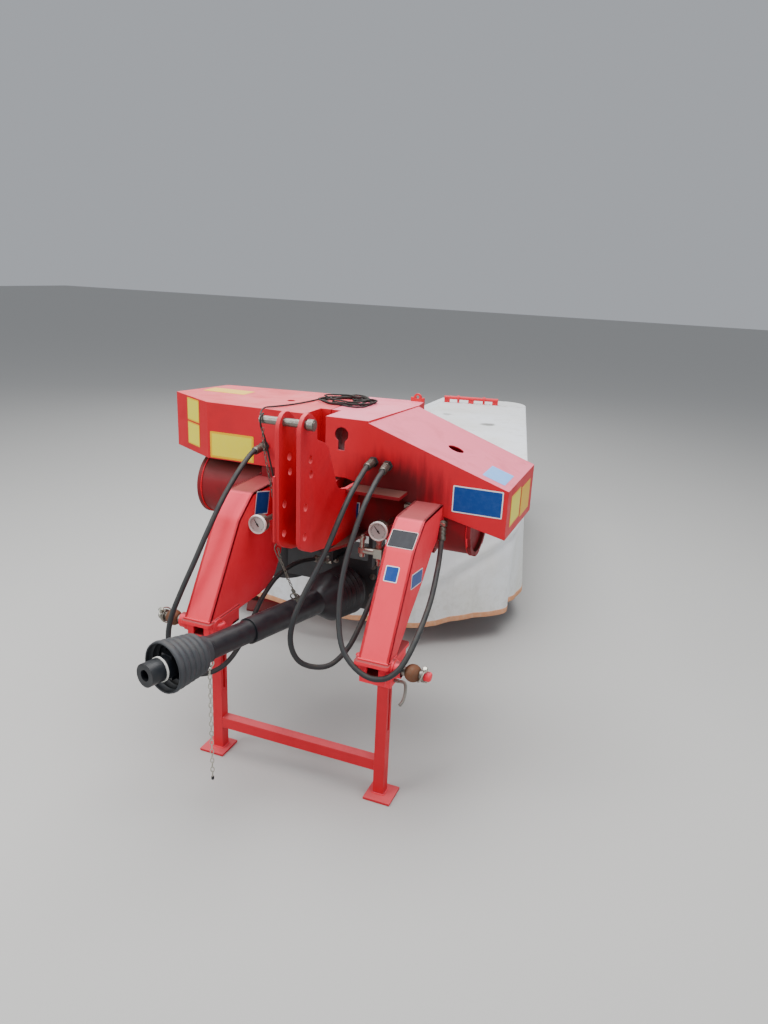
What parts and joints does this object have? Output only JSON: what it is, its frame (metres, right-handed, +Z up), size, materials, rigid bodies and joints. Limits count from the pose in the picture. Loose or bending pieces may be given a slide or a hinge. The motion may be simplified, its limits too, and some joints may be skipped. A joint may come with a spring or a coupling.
{
  "type": "rear-mounted disc mower conditioner",
  "caption": "Three-point-mounted disc mower conditioner with a white cloth canopy, parked on its stand with the mowing unit swung in line behind the headstock.",
  "frame": {"origin": "below the middle of the whole machine's box, on the floor", "axes": "+Z up; -Y towards the tractor; +X towards the tractor's left, which is the side the conditioner's outlet faces when parked"},
  "size_m": [2.0252, 3.992, 1.2859],
  "materials": {
    "red_paint": "sun-faded red machine enamel",
    "dark_red_paint": "red enamel, dusty",
    "bare_steel": "worn bare steel",
    "rusty_steel": "rusty steel",
    "black_plastic": "weathered black plastic",
    "black_rubber": "black rubber",
    "black_cord": "black braided cord",
    "gearbox_iron": "painted cast iron",
    "canopy_cloth": "coated white cloth, stained",
    "gauge_dial": "white dial behind glass"
  },
  "bodies": {
    "headstock": {"cross_tube": "dark_red_paint", "mast": "red_paint", "top_pin": "bare_steel", "left_leg": "red_paint", "right_leg": "red_paint", "hitch_pins": "bare_steel", "hitch_balls": "rusty_steel", "left_cover": "red_paint", "right_cover": "red_paint", "hose_ports": "bare_steel", "gauges": "gauge_dial", "swing_bracket": "dark_red_paint", "input_gearbox": "gearbox_iron", "stand_pins": "bare_steel", "cover_lug": "red_paint", "hose_fittings": "bare_steel", "gauge_valve": "bare_steel", "hose_left": "black_rubber", "hose_right_a": "black_rubber", "hose_right_b": "black_rubber", "control_cord": "black_cord", "cord_coil": "black_cord"},
    "stand": {"stand": "red_paint"},
    "pto_cross": {"pto_cross": "bare_steel"},
    "pto_shaft": {"pto_tube": "black_plastic"},
    "pto_front": {"pto_front": "black_plastic"},
    "pto_yoke": {"pto_yoke": "black_plastic"},
    "carrier": {"swing_arm": "red_paint", "swivel_gearbox": "gearbox_iron"},
    "unit_shaft": {"unit_shaft": "black_plastic"},
    "swing_barrel": {"swing_barrel": "dark_red_paint"},
    "swing_rod": {"swing_rod": "bare_steel"},
    "lift_barrel": {"lift_barrel": "dark_red_paint"},
    "lift_rod": {"lift_rod": "bare_steel"},
    "mowing_unit": {"mower_frame": "red_paint", "cutterbar": "dark_red_paint", "rotor_hood": "red_paint", "canopy_frame": "red_paint", "canopy_cover": "canopy_cloth", "curtain_inner": "canopy_cloth", "curtain_outlet": "canopy_cloth", "curtain_front": "canopy_cloth"},
    "disc_1": {"disc_1": "bare_steel"},
    "disc_2": {"disc_2": "bare_steel"},
    "disc_3": {"disc_3": "bare_steel"},
    "disc_4": {"disc_4": "bare_steel"},
    "disc_5": {"disc_5": "bare_steel"},
    "disc_6": {"disc_6": "bare_steel"},
    "rotor": {"conditioner_rotor": "dark_red_paint"},
    "swath_inner": {"swath_door_inner": "red_paint"},
    "swath_outer": {"swath_door_outer": "red_paint"},
    "guard": {"outer_guard": "red_paint", "curtain_outer": "canopy_cloth"}
  },
  "joints": [
    {"name": "unit_swing", "type": "hinge", "parent": "headstock", "child": "carrier", "pos_m": [0.022, -0.813, 0.784], "axis": [0, 0, 1], "range_deg": [-12, 78]},
    {"name": "unit_lift", "type": "hinge", "parent": "carrier", "child": "mowing_unit", "pos_m": [-0.09443, -0.26524, 0.72], "axis": [0.9781, 0.2079, 0], "range_deg": [0, 35]},
    {"name": "shaft_slide", "type": "slide", "parent": "carrier", "child": "unit_shaft", "axis": [-0.2079, 0.9781, 0], "range_m": [0, 0.136]},
    {"name": "swing_barrel_pivot", "type": "hinge", "parent": "headstock", "child": "swing_barrel", "pos_m": [0.672, -0.703, 0.76], "axis": [0, 0, 1], "range_deg": [-2, 1]},
    {"name": "swing_rod_slide", "type": "slide", "parent": "swing_barrel", "child": "swing_rod", "axis": [-0.9998, 0.0193, 0], "range_m": [-0.034, 0.215]},
    {"name": "lift_barrel_pivot", "type": "hinge", "parent": "carrier", "child": "lift_barrel", "pos_m": [-0.00087, -0.7054, 0.88], "axis": [0.9781, 0.2079, 0], "range_deg": [0, 11]},
    {"name": "lift_rod_slide", "type": "slide", "parent": "lift_barrel", "child": "lift_rod", "axis": [-0.2074, 0.9756, -0.0723], "range_m": [-0.102, 0]},
    {"name": "rotor_spin", "type": "hinge", "parent": "mowing_unit", "child": "rotor", "pos_m": [-0.05511, 0.70412, 0.4], "axis": [-0.2079, 0.9781, 0], "continuous": true},
    {"name": "disc_1_spin", "type": "hinge", "parent": "mowing_unit", "child": "disc_1", "pos_m": [-0.29006, -0.30682, 0.13], "axis": [0, 0, 1], "continuous": true},
    {"name": "disc_2_spin", "type": "hinge", "parent": "mowing_unit", "child": "disc_2", "pos_m": [-0.36699, 0.05509, 0.13], "axis": [0, 0, 1], "continuous": true},
    {"name": "disc_3_spin", "type": "hinge", "parent": "mowing_unit", "child": "disc_3", "pos_m": [-0.44392, 0.41701, 0.13], "axis": [0, 0, 1], "continuous": true},
    {"name": "disc_4_spin", "type": "hinge", "parent": "mowing_unit", "child": "disc_4", "pos_m": [-0.52084, 0.77892, 0.13], "axis": [0, 0, 1], "continuous": true},
    {"name": "disc_5_spin", "type": "hinge", "parent": "mowing_unit", "child": "disc_5", "pos_m": [-0.59777, 1.14084, 0.13], "axis": [0, 0, 1], "continuous": true},
    {"name": "disc_6_spin", "type": "hinge", "parent": "mowing_unit", "child": "disc_6", "pos_m": [-0.6747, 1.50275, 0.13], "axis": [0, 0, 1], "continuous": true},
    {"name": "swath_inner_turn", "type": "hinge", "parent": "mowing_unit", "child": "swath_inner", "pos_m": [0.40906, 0.10759, 0.42], "axis": [0, 0, 1], "range_deg": [-30, 30]},
    {"name": "swath_outer_turn", "type": "hinge", "parent": "mowing_unit", "child": "swath_outer", "pos_m": [0.09719, 1.57481, 0.42], "axis": [0, 0, 1], "range_deg": [-30, 30]},
    {"name": "guard_fold", "type": "hinge", "parent": "mowing_unit", "child": "guard", "pos_m": [0.10097, 1.74941, 0.84], "axis": [0.9781, 0.2079, 0], "range_deg": [0, 95]},
    {"name": "stand_slide", "type": "slide", "parent": "headstock", "child": "stand", "axis": [0, 0, 1], "range_m": [0, 0.19]},
    {"name": "pto_yaw", "type": "hinge", "parent": "headstock", "child": "pto_cross", "pos_m": [0.422, -1.083, 0.54], "axis": [0, 0, 1], "range_deg": [-8, 10]},
    {"name": "pto_pitch", "type": "hinge", "parent": "pto_cross", "child": "pto_shaft", "pos_m": [0.422, -1.083, 0.54], "axis": [-0.9693, 0.2457, 0], "range_deg": [-25, 20]},
    {"name": "pto_slide", "type": "slide", "parent": "pto_shaft", "child": "pto_front", "axis": [-0.2456, -0.9688, 0.0349], "range_m": [0, 0.2]},
    {"name": "pto_spin", "type": "hinge", "parent": "pto_front", "child": "pto_yoke", "pos_m": [0.20836, -1.92581, 0.57038], "axis": [-0.2456, -0.9688, 0.0349], "continuous": true}
  ],
  "couplings": [
    {"joint": "shaft_slide", "follows": "unit_lift", "m_per_rad": 0.22},
    {"joint": "lift_barrel_pivot", "follows": "unit_lift", "ratio": 0.3077},
    {"joint": "lift_rod_slide", "follows": "unit_lift", "m_per_rad": -0.165},
    {"joint": "swing_barrel_pivot", "follows": "unit_swing", "ratio": -0.02},
    {"joint": "swing_rod_slide", "follows": "unit_swing", "m_per_rad": 0.1568},
    {"joint": "disc_1_spin", "follows": "rotor_spin", "ratio": 3},
    {"joint": "disc_2_spin", "follows": "rotor_spin", "ratio": -3},
    {"joint": "disc_3_spin", "follows": "rotor_spin", "ratio": 3},
    {"joint": "disc_4_spin", "follows": "rotor_spin", "ratio": -3},
    {"joint": "disc_5_spin", "follows": "rotor_spin", "ratio": 3},
    {"joint": "disc_6_spin", "follows": "rotor_spin", "ratio": -3}
  ]
}
